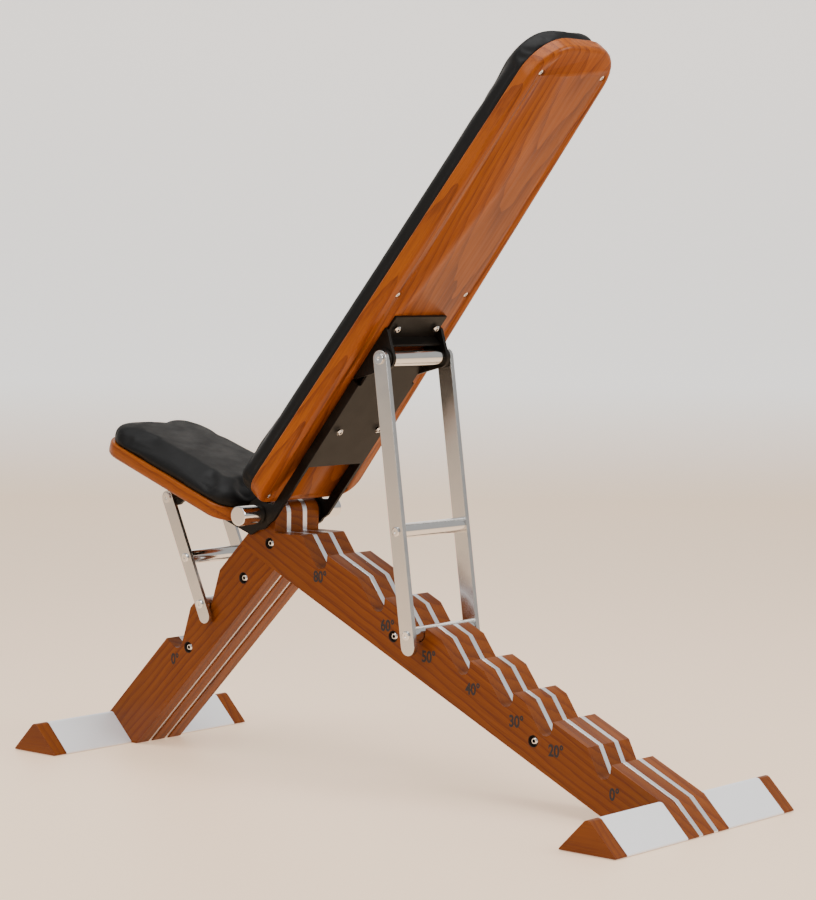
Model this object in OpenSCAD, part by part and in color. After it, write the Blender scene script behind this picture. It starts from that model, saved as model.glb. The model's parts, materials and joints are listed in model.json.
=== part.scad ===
// Adjustable weight bench: laminated timber and aluminium frame, hinged seat and
// backrest boards with padded tops, each propped by a metal strut that rests in a notch.
// Millimetres. X runs across the bench, Y runs along it (seat front at -Y), Z is up.
// The origin is on the floor, midway between the outer corners of the two feet.

/* [Overall] */
// Length over the outer corners of both feet
floor_length = 1160; // [1060:5:1300]
// Length of each foot bar across the bench
foot_length = 420; // [340:5:520]
// Height of the hinge axle above the floor
axle_height = 384; // [320:1:420]

/* [Laminated frame] */
// Thickness of one timber plank
plank_w = 26; // [20:0.5:34]
// Thickness of one metal plate between two planks
plate_w = 9; // [5:0.5:12]
// Depth of the rear beam, square to its slope
beam_depth = 73; // [68:1:84]
// Depth of the front leg, square to its slope
leg_depth = 75; // [60:1:90]
// Height of the flat step below the axle
step_drop = 28; // [26:0.5:32]
// Length of the flat step
step_length = 51; // [46:1:56]
// Radius of the rounded block round the axle
block_r = 20.6; // [16:0.2:22]
// Recess of the metal plates at the back of the leg
plate_recess = 2; // [0:0.5:8]

/* [Notches] */
// Radius of the strut rods that rest in the notches
rod_r = 11; // [8:0.5:13]
// Room between a rod and the bottom of its notch
pocket_gap = 0.8; // [0.4:0.1:1.5]
// Depth of the rod centres below the top of the beam
rod_depth = 14.3; // [12:0.1:17]
// Depth of the seat rod centres below the front of the leg
seat_rod_depth = 17; // [14:0.5:19]
// Distance between the two seat notches along the leg
seat_notch_pitch = 89.6; // [70:0.5:100]

/* [Backrest] */
// Backrest angle in the notch it rests in
back_angle = 50; // [50:10:50]
// Distance from the axle to the lower end of the back board
back_start = 34; // [32:1:44]
// Distance from the axle to the top end of the back board
back_end = 874; // [760:2:980]
// Half width of the back board at the axle
back_half_low = 113; // [108:1:125]
// Half width of the back board at its top
back_half_high = 84.5; // [80:0.5:110]
// Thickness of the back board
back_board_t = 23.5; // [20:0.5:32]
// Thickness of the back pad
back_pad_t = 35; // [28:1:45]
// Depth of the back board's underside below the axle
back_drop = 13; // [11:0.5:15]

/* [Seat] */
// Upward tilt of the seat in the notch it rests in
seat_angle = 17; // [16:0.5:18]
// Distance from the axle to the rear end of the seat board
seat_start = 31; // [31:1:40]
// Distance from the axle to the front end of the seat board
seat_end = 332; // [300:2:380]
// Half width of the seat board at the axle
seat_half_low = 109; // [108:1:125]
// Half width of the seat board at its front
seat_half_high = 92; // [80:1:110]
// Thickness of the seat board
seat_board_t = 22.4; // [18:0.2:26]
// Thickness of the seat pad
seat_pad_t = 30; // [26:1:45]
// Depth of the seat board's underside below the axle
seat_drop = 25; // [20:0.5:28]

/* [Hinge] */
// Radius of the axle
axle_r = 8; // [6:0.5:10]
// Running clearance of every pin in its bush or ear
run_gap = 0.05; // [0.02:0.01:0.09]
// Thickness of the seat and backrest hinge arms
arm_t = 5.5; // [4:0.5:7]
// Sideways gap between neighbouring hinge parts
side_gap = 1.5; // [0.6:0.1:2.5]
// Length of each polished end barrel
barrel_length = 44; // [30:1:60]
// Radius of each polished end barrel
barrel_r = 15; // [12:0.5:16]

/* [Struts] */
// Distance of the back strut pivot from the axle, along the back board
pivot_along = 345; // [340:1:350]
// Depth of the back strut pivot below the axle, square to the back board
pivot_below = 38; // [36:0.5:42]
// Length of the back strut between pivot and rod
strut_length = 397; // [394:0.5:400]
// Width of the back strut bars
strut_bar_w = 25; // [20:1:30]
// Thickness of the back strut bars
strut_bar_t = 8; // [5:0.5:10]
// Distance of the seat strut pivot from the axle, along the seat board
seat_pivot_along = 193.5; // [190:0.5:197]
// Depth of the seat strut pivot below the axle, square to the seat board
seat_pivot_below = 46; // [44:0.5:48]
// Length of the seat strut between pivot and rod
seat_strut_length = 175; // [172:0.5:178]
// Width of the seat strut bars
seat_bar_w = 22; // [18:1:26]
// Thickness of the seat strut bars
seat_bar_t = 6; // [4:0.5:8]

/* [Hidden] */

$fn = 64;
arc_step = 12;
over = 1;

// Angles that the backrest can be set to, with the slope of each notch's leading face
BACK_NOTCHES = [[80, 54], [60, 54], [50, 54], [40, 54], [30, 54], [20, 56], [0, 64]];

wood = "#a5561f";
silver = "#c9cacb";
chrome = "#dcdcde";
black = "#1c1b1a";
leather = "#161616";

// Widths across the bench
frame_half = 1.5 * plank_w + plate_w;
seat_arm_x = frame_half + side_gap;
back_arm_x = seat_arm_x + arm_t + side_gap;
back_arm_out = back_arm_x + arm_t;
barrel_x = back_arm_out + side_gap / 2;
strut_gap = 5;
strut_x = back_arm_out + strut_gap;
seat_strut_x = seat_arm_x + arm_t - side_gap / 2;
side_clear = 0.4;
tube_clear = 0.5;

// Axle, feet and frame lines
axle_lead = 0.4;
axle_y = axle_height + axle_lead - floor_length / 2;
axle_z = axle_height;
ground_gap = 1;
foot_half = 46;
foot_lip = 2;
foot_round = 8;
front_foot_y = foot_half - floor_length / 2;
rear_foot_y = floor_length / 2 - foot_half;
slope_z = ground_gap + foot_lip;
cap_length = 26;
cover_t = 1.5;
front_line = floor_length / 2 + slope_z;
leg_rear_line = front_line - leg_depth * sqrt(2);
step_front_y = axle_y + block_r;
step_back_y = step_front_y + step_length;
step_z = axle_z - step_drop;
// The top of the beam runs from the back of the step to just under the rear foot's ridge
ridge_drop = 2.6;
beam_run = rear_foot_y - step_back_y;
beam_slope = atan2(step_z - slope_z - foot_half + ridge_drop, beam_run);
beam_dir = [cos(beam_slope), -sin(beam_slope)];
beam_up = [sin(beam_slope), cos(beam_slope)];
beam_top = [step_back_y, step_z];
beam_under = beam_top - beam_depth * beam_up;

// Rods and notches
pocket_r = rod_r + pocket_gap;
notch_lean = 8;
seat_notch_slope = 36;
seat_notch_lean = 18;
cut_reach = 70;
rod_line = beam_top - rod_depth * beam_up;

// Fasteners
bolt_r = 4;
bolt_gap = 0.2;
head_r = 6.5;
head_t = 5;
sink_r = 8.5;
sink_depth = 8;
screw_r = 4.5;
tie_r = 5;
tie_z = 20;
pin_r = 5;
tube_r = 11.5;

// Boards and brackets
pad_setback = 38;
pad_end_flat = 5;
pad_edge_r = 14;
pad_inset = 2;
web_t = 4;
channel_depth = 15;
web_start = 120;
web_end = 331;
ear_start = 282;
ear_end = 378;
ear_plate_start = 358;
ear_plate_end = 400;
ear_r = 16;
arm_r = 24;
seat_arm_r = 19;
bush_t = 3;

function unit(v) = v / norm(v);
function flat2(p) = [p[0], p[1]];

// A corner at b between a and c, rounded to radius r
function fillet(a, b, c, r) = r == 0 ? [b] :
    let (u = unit(a - b), v = unit(c - b), half = acos(u * v) / 2,
         centre = b + unit(u + v) * r / sin(half),
         from = b + u * r / tan(half) - centre, to = b + v * r / tan(half) - centre,
         start = atan2(from[1], from[0]),
         sweep = atan2(from[0] * to[1] - from[1] * to[0], from * to),
         steps = ceil(abs(sweep) / arc_step))
    [for (i = [0:steps]) centre + r * [cos(start + sweep * i / steps),
                                       sin(start + sweep * i / steps)]];

// An outline from points [x, y, corner radius]
function rounded(p) = [for (i = [0:len(p) - 1])
    each fillet(flat2(p[(i + len(p) - 1) % len(p)]), flat2(p[i]),
                flat2(p[(i + 1) % len(p)]), p[i][2])];

// Where two lines meet, each given by a point and a direction
function meet(p, u, q, v) = p + u * ((q - p)[0] * v[1] - (q - p)[1] * v[0])
                                  / (u[0] * v[1] - u[1] * v[0]);

// Where a circle about c meets the line p + t * u, taken furthest along u
function reach(c, r, p, u) = let (w = p - c, b = w * u)
    p + u * (sqrt(b * b - w * w + r * r) - b);

// Back strut pivot and rod centres in the Y-Z plane, at a backrest angle
function back_pivot(a) = [axle_y, axle_z] + pivot_along * [cos(a), sin(a)]
                         + pivot_below * [sin(a), -cos(a)];
function back_rod(a) = reach(back_pivot(a), strut_length, rod_line, beam_dir);

// Seat strut pivot and rod centres in the Y-Z plane
seat_pivot = [axle_y, axle_z] + seat_pivot_along * [-cos(seat_angle), sin(seat_angle)]
             - seat_pivot_below * [sin(seat_angle), cos(seat_angle)];
leg_down = [-1, -1] / sqrt(2);
leg_in = [1, -1] / sqrt(2);
seat_rod_line = [0, front_line] + seat_rod_depth * leg_in;
seat_rod_high = reach(seat_pivot, seat_strut_length, seat_rod_line, leg_down);
seat_rod_low = seat_rod_high + seat_notch_pitch * leg_down;

// Each board leans a little further than its linkage line, so in a board's own plane its
// pivot lies at these distances along and below
back_lean = 0.7;
seat_lean = 1.7;
function in_board(along, below, lean) = [along * cos(lean) - below * sin(lean),
                                         along * sin(lean) + below * cos(lean)];
back_ear = in_board(pivot_along, pivot_below, back_lean);
seat_ear = in_board(seat_pivot_along, seat_pivot_below, seat_lean);

rest_pivot = back_pivot(back_angle);
rest_rod = back_rod(back_angle);
strut_dir = atan2(rest_rod[1] - rest_pivot[1], rest_rod[0] - rest_pivot[0]);
seat_strut_dir = atan2(seat_rod_high[1] - seat_pivot[1], seat_rod_high[0] - seat_pivot[0]);

// Cross bolts of the frame, in the Y-Z plane
beam_mid = beam_under + 0.42 * beam_depth * beam_up;
bolt_steps = [0.308 * beam_run, 0.7 * beam_run] / cos(beam_slope);
leg_bolts = [[axle_y, axle_z] + [-45.7, -101.2], [axle_y, axle_z] + [-164.4, -218.6]];
beam_bolts = [[axle_y, axle_z] + [9, -44.5], beam_mid + bolt_steps[0] * beam_dir,
              beam_mid + bolt_steps[1] * beam_dir];
frame_bolt_points = concat(beam_bolts, leg_bolts);

// Extrudes a Y-Z outline across the bench
module across(x0, x1) { translate([x0, 0, 0]) rotate([90, 0, 90]) linear_extrude(x1 - x0) children(); }
// A cylinder across the bench at a point of the Y-Z plane
module cross_rod(p, r, x0, x1) { translate([x0, p[0], p[1]]) rotate([0, 90, 0]) cylinder(h = x1 - x0, r = r); }
module both_sides() { children(); mirror([1, 0, 0]) children(); }

module back_place() { translate([0, axle_y, axle_z]) rotate([back_angle + back_lean, 0, 0]) children(); }
module seat_place() {
    translate([0, axle_y, axle_z]) mirror([0, 1, 0]) rotate([seat_angle + seat_lean, 0, 0]) children();
}

// ---- frame ----

// Space of one notch: a sloped leading face, a round pocket for the rod and a leaning wall
module notch_cut(rod, slope, lean, reach_out) {
    first = 270 - slope;
    steps = ceil((360 - lean - first) / arc_step);
    pocket = [for (i = [0:steps]) let (a = first + (360 - lean - first) * i / steps)
              rod + pocket_r * [cos(a), sin(a)]];
    polygon(concat([pocket[0] + reach_out * [-cos(slope), sin(slope)]], pocket,
                   [pocket[steps] + reach_out * [sin(lean), cos(lean)]]));
}

module beam_outline() {
    front_low = meet(beam_under, beam_dir, [0, front_line], [1, 1]);
    block_left = [axle_y - block_r, front_line + axle_y - block_r];
    tail_top = meet(beam_top, beam_dir, [0, front_line], [1, -1]);
    heel = meet(beam_under, beam_dir, [0, ground_gap], [1, 0]);
    block_side = block_r - 0.1;
    difference() {
        polygon(rounded([concat(front_low, 0), concat(block_left, 0),
            [axle_y - block_r, axle_z + block_r, block_side],
            [step_front_y, axle_z + block_r, block_side],
            [step_front_y, step_z, 0], concat(beam_top, 0), concat(tail_top, 0),
            [floor_length / 2, slope_z, 0], [floor_length / 2, ground_gap, 0], concat(heel, 0)]));
        for (n = BACK_NOTCHES) notch_cut(back_rod(n[0]), n[1], notch_lean, cut_reach);
    }
}

module leg_outline(recess) {
    top_front = meet(beam_under, beam_dir, [0, front_line], [1, 1]);
    rear = leg_rear_line + recess * sqrt(2);
    top_rear = meet(beam_under, beam_dir, [0, rear], [1, 1]);
    difference() {
        polygon([top_front, top_rear, [ground_gap - rear, ground_gap],
                 [-floor_length / 2, ground_gap], [-floor_length / 2, slope_z]]);
        for (rod = [seat_rod_high, seat_rod_low])
            notch_cut(rod, seat_notch_slope, seat_notch_lean, 1.4 * cut_reach);
    }
}

module frame_bores(points, r) {
    for (p = points) cross_rod(p, r, -frame_half - over, frame_half + over);
}

module bolt_sinks(points) {
    for (p = points) both_sides() cross_rod(p, sink_r, frame_half - sink_depth, frame_half + over);
}

module beam_layer(x0, x1) {
    difference() {
        across(x0, x1) beam_outline();
        frame_bores(beam_bolts, bolt_r + bolt_gap);
        frame_bores([[axle_y, axle_z]], axle_r);
        frame_bores([[rear_foot_y, tie_z]], tie_r);
        bolt_sinks(beam_bolts);
    }
}

module leg_layer(x0, x1, recess) {
    difference() {
        across(x0, x1) leg_outline(recess);
        frame_bores(leg_bolts, bolt_r + bolt_gap);
        frame_bores([[front_foot_y, tie_z]], tie_r);
        bolt_sinks(leg_bolts);
    }
}

inner = plank_w / 2;
outer = inner + plate_w;
module rear_beam_plank_right() { color(wood) beam_layer(outer, frame_half); }
module rear_beam_plank_middle() { color(wood) beam_layer(-inner, inner); }
module rear_beam_plank_left() { color(wood) beam_layer(-frame_half, -outer); }
module rear_beam_plate_right() { color(silver) beam_layer(inner, outer); }
module rear_beam_plate_left() { color(silver) beam_layer(-outer, -inner); }
module front_leg_plank_right() { color(wood) leg_layer(outer, frame_half, 0); }
module front_leg_plank_middle() { color(wood) leg_layer(-inner, inner, 0); }
module front_leg_plank_left() { color(wood) leg_layer(-frame_half, -outer, 0); }
module front_leg_plate_right() { color(silver) leg_layer(inner, outer, plate_recess); }
module front_leg_plate_left() { color(silver) leg_layer(-outer, -inner, plate_recess); }

// Foot profile about its own centre line, shrunk by inset
module foot_profile(inset) {
    w = foot_half - inset;
    top = slope_z + foot_half - inset * sqrt(2);
    low = slope_z - inset;
    polygon(rounded([[-w, ground_gap, 0], [-w, max(low, ground_gap + 0.2), 0],
                     [0, top, foot_round], [w, max(low, ground_gap + 0.2), 0],
                     [w, ground_gap, 0]]));
}

cap_x = foot_length / 2 - cap_length;
// The frame member fills the middle of the foot, so each foot is two halves
module foot_cores(y) {
    both_sides() difference() {
        translate([0, y, 0]) across(frame_half, cap_x) foot_profile(cover_t);
        cross_rod([y, tie_z], tie_r, frame_half - over, cap_x + over);
    }
}

module foot_cover(y) {
    translate([0, y, 0]) across(frame_half, cap_x) difference() {
        foot_profile(0);
        translate([0, -over]) foot_profile(cover_t);
        foot_profile(cover_t);
    }
}

module foot_caps(y) {
    both_sides() translate([0, y, 0]) across(cap_x, foot_length / 2) foot_profile(0);
}

module front_foot_cores() { color(wood) foot_cores(front_foot_y); }
module rear_foot_cores() { color(wood) foot_cores(rear_foot_y); }
module front_foot_cover_right() { color(silver) foot_cover(front_foot_y); }
module front_foot_cover_left() { color(silver) mirror([1, 0, 0]) foot_cover(front_foot_y); }
module rear_foot_cover_right() { color(silver) foot_cover(rear_foot_y); }
module rear_foot_cover_left() { color(silver) mirror([1, 0, 0]) foot_cover(rear_foot_y); }
module front_foot_end_caps() { color(wood) foot_caps(front_foot_y); }
module rear_foot_end_caps() { color(wood) foot_caps(rear_foot_y); }

module foot_pads() {
    color(black) for (y = [front_foot_y, rear_foot_y], x = [-1, 1])
        translate([x * (cap_x - 24), y, 0]) cylinder(h = ground_gap, r = 20);
}

module foot_tie_rods() {
    color(silver) for (y = [front_foot_y, rear_foot_y]) cross_rod([y, tie_z], tie_r, -cap_x, cap_x);
}

head_x = frame_half - sink_depth;
module frame_bolts() {
    color(chrome) for (p = frame_bolt_points) difference() {
        union() {
            cross_rod(p, bolt_r, -head_x - head_t + over, head_x);
            cross_rod(p, head_r, head_x, head_x + head_t);
        }
        translate([head_x + 2, p[0], p[1]]) rotate([0, 90, 0]) cylinder(h = head_t, r = 3, $fn = 6);
    }
}

module frame_nuts() {
    color(chrome) for (p = frame_bolt_points) difference() {
        cross_rod(p, head_r, -head_x - head_t, -head_x);
        cross_rod(p, bolt_r, -head_x - head_t - over, -head_x + over);
    }
}

module main_axle() {
    color(chrome) cross_rod([axle_y, axle_z], axle_r, -barrel_x - barrel_length + 10,
                            barrel_x + barrel_length - 10);
}

module axle_barrel() {
    color(chrome) difference() {
        cross_rod([axle_y, axle_z], barrel_r, barrel_x, barrel_x + barrel_length);
        cross_rod([axle_y, axle_z], axle_r, barrel_x - over, barrel_x + barrel_length - 10);
    }
}
module axle_barrel_right() { axle_barrel(); }
module axle_barrel_left() { mirror([1, 0, 0]) axle_barrel(); }

// ---- boards and pads ----

// Tapered plan outline of a board, with rounded corners
module plan(start, end, half_low, half_high, r_low, r_high, inset) {
    taper = (half_low - half_high) / end;
    low = half_low - taper * start - inset;
    high = half_high - inset;
    polygon(rounded([[-low, start, r_low], [low, start, r_low],
                     [high, end - inset, r_high], [-high, end - inset, r_high]]));
}

// Side outline of a pad: generously rounded towards the hinge
module pad_side(end, base, thick) {
    top = base + thick;
    across(-130, 130) polygon(rounded([[pad_setback, base, 3],
        [pad_setback, top, thick - pad_end_flat],
        [end - pad_inset, top, pad_edge_r], [end - pad_inset, base, 3]]));
}

module board(start, end, half_low, half_high, r_low, r_high, thick, drop) {
    translate([0, 0, -drop]) linear_extrude(thick)
        plan(start, end, half_low, half_high, r_low, r_high, 0);
}

module pad(end, half_low, half_high, r_high, base, thick) {
    intersection() {
        translate([0, 0, base]) linear_extrude(thick)
            plan(pad_setback, end, half_low, half_high, 26, r_high, pad_inset);
        pad_side(end, base, thick);
    }
}

// Fastener rows, each at a distance along a board and out from its centre line
seat_rows = [[60, 38], [128, 38]];
seat_bracket_row = [seat_pivot_along + 22, 22];
back_bolt_x = back_arm_x - 13.8;
back_bolt_rows = [[192, back_bolt_x], [380, back_bolt_x]];
function screw_x(s) = back_half_low - 30 - (back_half_low - back_half_high - 13.5) * s / back_end;
screw_rows = [for (s = [back_start + 16, back_end / 2, back_end - 46]) [s, screw_x(s)]];
screw_depth = 6;

module underside_points(rows, drop) {
    for (row = rows, side = [-1, 1]) translate([side * row[1], row[0], -drop]) children();
}

module seat_board() {
    color(wood) seat_place() difference() {
        board(seat_start, seat_end, seat_half_low, seat_half_high, 34, 46, seat_board_t, seat_drop);
        underside_points(concat(seat_rows, [seat_bracket_row]), seat_drop)
            translate([0, 0, -over]) cylinder(h = 14 + over, r = 3);
    }
}

module seat_pad() {
    color(leather) seat_place()
        pad(seat_end, seat_half_low, seat_half_high, 48, seat_board_t - seat_drop, seat_pad_t);
}

module back_board() {
    color(wood) back_place() difference() {
        board(back_start, back_end, back_half_low, back_half_high, 36, 60, back_board_t, back_drop);
        underside_points(screw_rows, back_drop)
            translate([0, 0, -over]) cylinder(h = screw_depth + over, r = screw_r + 1);
        underside_points(back_bolt_rows, back_drop) translate([0, 0, -over]) cylinder(h = 18 + over, r = 3);
    }
}

module back_pad() {
    color(leather) back_place()
        pad(back_end, back_half_low, back_half_high, 60, back_board_t - back_drop, back_pad_t);
}

module back_board_screws() {
    color(chrome) back_place() underside_points(screw_rows, back_drop) {
        translate([0, 0, 2]) cylinder(h = 2.5, r = screw_r);
        translate([0, 0, 4.5]) cylinder(h = screw_depth - 4.5, r = 2.5);
    }
}

// A hinge arm: an eye round the axle that runs out along the underside of a board
module hinge_arm(x0, eye_r, start, length, drop, depth) {
    under = -drop;
    difference() {
        union() {
            cross_rod([0, 0], eye_r, x0, x0 + arm_t);
            across(x0, x0 + arm_t) polygon([[0.9 * eye_r, 0], [start - over, under], [length, under],
                                            [length, under - depth], [0.6 * eye_r, under - depth],
                                            [-0.6 * eye_r, -0.75 * eye_r]]);
        }
        cross_rod([0, 0], axle_r + bush_t, x0 - over, x0 + arm_t + over);
    }
}

module bushes(x0) {
    both_sides() difference() {
        cross_rod([0, 0], axle_r + bush_t, x0, x0 + arm_t);
        cross_rod([0, 0], axle_r + run_gap, x0 - over, x0 + arm_t + over);
    }
}

seat_arm_length = 152;
module seat_hinge_bracket() {
    color(black) seat_place() {
        both_sides() hinge_arm(seat_arm_x, seat_arm_r, seat_start, seat_arm_length, seat_drop, 14);
        difference() {
            translate([-seat_arm_x, 44, -seat_drop - web_t]) cube([2 * seat_arm_x, 106, web_t]);
            underside_points(seat_rows, seat_drop) translate([0, 0, -20]) cylinder(h = 20 + over, r = 3);
        }
    }
}
module seat_hinge_bushes() { color("#c9b48a") seat_place() bushes(seat_arm_x); }

module back_channel() {
    deep = -back_drop - channel_depth;
    ear_inside = back_arm_x - tube_clear;
    color(black) back_place() {
        both_sides() hinge_arm(back_arm_x, arm_r, back_start, ear_start - 2, back_drop, channel_depth);
        difference() {
            union() {
                translate([-back_arm_x, web_start, deep])
                    cube([2 * back_arm_x, ear_start - 2 - web_start, web_t]);
                translate([-ear_inside, web_start, deep]) cube([2 * ear_inside, web_end - web_start, web_t]);
            }
            underside_points([back_bolt_rows[0]], back_drop) translate([0, 0, -30]) cylinder(h = 40, r = 3);
        }
    }
}
module back_hinge_bushes() { color("#c9b48a") back_place() bushes(back_arm_x); }

// An ear: a plate on the board's underside that tapers out to a round eye at the pivot
module ear(x0, thick, start, end, pivot, drop, r) {
    under = -drop;
    along = pivot[0];
    below = pivot[1];
    near = unit([along - start, -below - under]);
    far = unit([end - along, under + below]);
    difference() {
        union() {
            cross_rod([along, -below], r, x0, x0 + thick);
            across(x0, x0 + thick) polygon([[start, under], [end, under], [end, under - 6],
                [along, -below] + r * [far[1], -far[0]] * 0.98,
                [along, -below] - r * [-near[1], near[0]] * 0.98, [start, under - 3]]);
        }
        cross_rod([along, -below], pin_r + run_gap, x0 - over, x0 + thick + over);
    }
}

module back_strut_bracket() {
    under = -back_drop;
    bend_depth = 20;
    color(black) back_place() {
        both_sides() ear(back_arm_x, arm_t, ear_start, ear_end, back_ear, back_drop, ear_r);
        translate([-back_arm_x, ear_plate_start, under - bend_depth])
            cube([2 * back_arm_x, web_t, bend_depth]);
        difference() {
            translate([-back_arm_x, ear_plate_start, under - web_t])
                cube([2 * back_arm_x, ear_plate_end - ear_plate_start, web_t]);
            underside_points([back_bolt_rows[1]], back_drop) translate([0, 0, -20]) cylinder(h = 20 + over, r = 3);
        }
    }
}

seat_ear_x = frame_half - 14;
module seat_strut_bracket() {
    color(black) seat_place() {
        both_sides() ear(seat_ear_x, arm_t, seat_arm_length + 4, seat_pivot_along + 34,
                         seat_ear, seat_drop, 13);
        difference() {
            translate([-seat_ear_x, seat_arm_length + 4, -seat_drop - web_t])
                cube([2 * seat_ear_x, seat_pivot_along + 30 - seat_arm_length, web_t]);
            underside_points([seat_bracket_row], seat_drop) translate([0, 0, -20]) cylinder(h = 20 + over, r = 3);
        }
    }
}

// A round-headed bolt with a hexagon socket, pointing up from a bracket
module bracket_bolt(bracket_t, grip) {
    difference() {
        union() {
            translate([0, 0, -bracket_t - 4]) cylinder(h = 4, r = 5.5);
            translate([0, 0, -bracket_t]) cylinder(h = bracket_t + grip, r = 2.9);
        }
        translate([0, 0, -bracket_t - 5]) cylinder(h = 3, r = 2.2, $fn = 6);
    }
}

module seat_bolts() {
    color(chrome) seat_place() underside_points(concat(seat_rows, [seat_bracket_row]), seat_drop)
        bracket_bolt(web_t, 12);
}

module back_bolts() {
    color(chrome) back_place() {
        underside_points([back_bolt_rows[0]], back_drop) bracket_bolt(channel_depth, 16);
        underside_points([back_bolt_rows[1]], back_drop) bracket_bolt(web_t, 16);
    }
}

// ---- struts ----

// Places a strut at its pivot with +Y running towards its rod
module strut_place(p, dir) { translate([0, p[0], p[1]]) rotate([dir, 0, 0]) children(); }

// A flat bar with round ends and bores for its pivot, cross tube and rod bolts
module strut_bar(x0, thick, w, length, stops, tail) {
    difference() {
        union() {
            across(x0, x0 + thick) polygon([[0, -w / 2], [length + tail - w / 2, -w / 2],
                                            [length + tail - w / 2, w / 2], [0, w / 2]]);
            cross_rod([0, 0], w / 2, x0, x0 + thick);
            cross_rod([length + tail - w / 2, 0], w / 2, x0, x0 + thick);
        }
        for (s = stops) cross_rod([s, 0], pin_r, x0 - over, x0 + thick + over);
    }
}

// A tube or rod between two bars, drilled at each end for its bolt
module cross_bar(s, r, half) {
    difference() {
        cross_rod([s, 0], r, -half, half);
        cross_rod([s, 0], pin_r, half - 24, half + over);
        cross_rod([s, 0], pin_r, -half - over, 24 - half);
    }
}

// Low-headed bolts through both bars
module bar_bolts(stops, half) {
    for (s = stops) both_sides() difference() {
        union() {
            cross_rod([s, 0], pin_r, half - 20, half);
            cross_rod([s, 0], 7, half, half + 2.5);
        }
        translate([half + 1, s, 0]) rotate([0, 90, 0]) cylinder(h = 3, r = 2.5, $fn = 6);
    }
}

// A pivot pin with a low head at each end
module pivot_pin(half) {
    difference() {
        union() {
            cross_rod([0, 0], pin_r, -half, half);
            both_sides() cross_rod([0, 0], 8, half, half + 2.5);
        }
        both_sides() translate([half + 1, 0, 0]) rotate([0, 90, 0]) cylinder(h = 3, r = 2.5, $fn = 6);
    }
}

cross_at = 248;
strut_tail = 29;
strut_out = strut_x + strut_bar_t;
module back_strut_bar() {
    color(chrome) strut_place(rest_pivot, strut_dir)
        strut_bar(strut_x, strut_bar_t, strut_bar_w, strut_length, [0, cross_at, strut_length], strut_tail);
}
module back_strut_bar_right() { back_strut_bar(); }
module back_strut_bar_left() { mirror([1, 0, 0]) back_strut_bar(); }
module back_strut_pivot_pin() { color(chrome) strut_place(rest_pivot, strut_dir) pivot_pin(strut_out); }
module back_strut_pivot_tube() {
    half = back_arm_x;
    color(chrome) back_place() difference() {
        cross_rod([back_ear[0], -back_ear[1]], tube_r, -half, half);
        cross_rod([back_ear[0], -back_ear[1]], pin_r + run_gap, -half - over, half + over);
    }
}
module back_strut_spacers() {
    color(black) strut_place(rest_pivot, strut_dir) both_sides() difference() {
        cross_rod([0, 0], 14, back_arm_out + side_clear, strut_x);
        cross_rod([0, 0], pin_r, back_arm_out, strut_x + over);
    }
}
module back_strut_cross_tube() { color(chrome) strut_place(rest_pivot, strut_dir) cross_bar(cross_at, rod_r, strut_x); }
module back_strut_notch_rod() { color(chrome) strut_place(rest_pivot, strut_dir) cross_bar(strut_length, rod_r, strut_x); }
module back_strut_bolts() { color(chrome) strut_place(rest_pivot, strut_dir) bar_bolts([cross_at, strut_length], strut_out); }

seat_cross_at = 99;
seat_tail = 31;
seat_strut_out = seat_strut_x + seat_bar_t;
module seat_strut_bar() {
    color(chrome) strut_place(seat_pivot, seat_strut_dir)
        strut_bar(seat_strut_x, seat_bar_t, seat_bar_w, seat_strut_length,
                  [0, seat_cross_at, seat_strut_length], seat_tail);
}
module seat_strut_bar_right() { seat_strut_bar(); }
module seat_strut_bar_left() { mirror([1, 0, 0]) seat_strut_bar(); }
module seat_strut_pivot_pin() { color(chrome) strut_place(seat_pivot, seat_strut_dir) pivot_pin(seat_strut_out); }
module seat_strut_cross_tube() {
    color(chrome) strut_place(seat_pivot, seat_strut_dir) cross_bar(seat_cross_at, rod_r, seat_strut_x);
}
module seat_strut_notch_rod() {
    color(chrome) strut_place(seat_pivot, seat_strut_dir) cross_bar(seat_strut_length, rod_r, seat_strut_x);
}
module seat_strut_bolts() {
    color(chrome) strut_place(seat_pivot, seat_strut_dir) bar_bolts([seat_cross_at, seat_strut_length], seat_strut_out);
}

rear_beam_plank_right();
rear_beam_plank_middle();
rear_beam_plank_left();
rear_beam_plate_right();
rear_beam_plate_left();
front_leg_plank_right();
front_leg_plank_middle();
front_leg_plank_left();
front_leg_plate_right();
front_leg_plate_left();
front_foot_cores();
rear_foot_cores();
front_foot_cover_right();
front_foot_cover_left();
rear_foot_cover_right();
rear_foot_cover_left();
front_foot_end_caps();
rear_foot_end_caps();
foot_pads();
foot_tie_rods();
frame_bolts();
frame_nuts();
main_axle();
axle_barrel_right();
axle_barrel_left();
seat_board();
seat_pad();
seat_hinge_bracket();
seat_hinge_bushes();
seat_strut_bracket();
seat_bolts();
seat_strut_bar_right();
seat_strut_bar_left();
seat_strut_pivot_pin();
seat_strut_cross_tube();
seat_strut_notch_rod();
seat_strut_bolts();
back_board();
back_pad();
back_channel();
back_hinge_bushes();
back_strut_bracket();
back_board_screws();
back_bolts();
back_strut_pivot_tube();
back_strut_bar_right();
back_strut_bar_left();
back_strut_pivot_pin();
back_strut_spacers();
back_strut_cross_tube();
back_strut_notch_rod();
back_strut_bolts();
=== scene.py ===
"""Looks of the adjustable weight bench, built round its fixed frame.

Laid out as an add-on: sizes and colours are property groups, each group of like pieces is one
operator, and a panel lists them. Lengths are in metres, in the frame's own axes.
"""
import json
from math import cos, pi, radians, sin, sqrt, tan

import bmesh
import bpy
from bpy.props import FloatProperty, FloatVectorProperty, PointerProperty
from mathutils import Matrix, Vector

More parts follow.
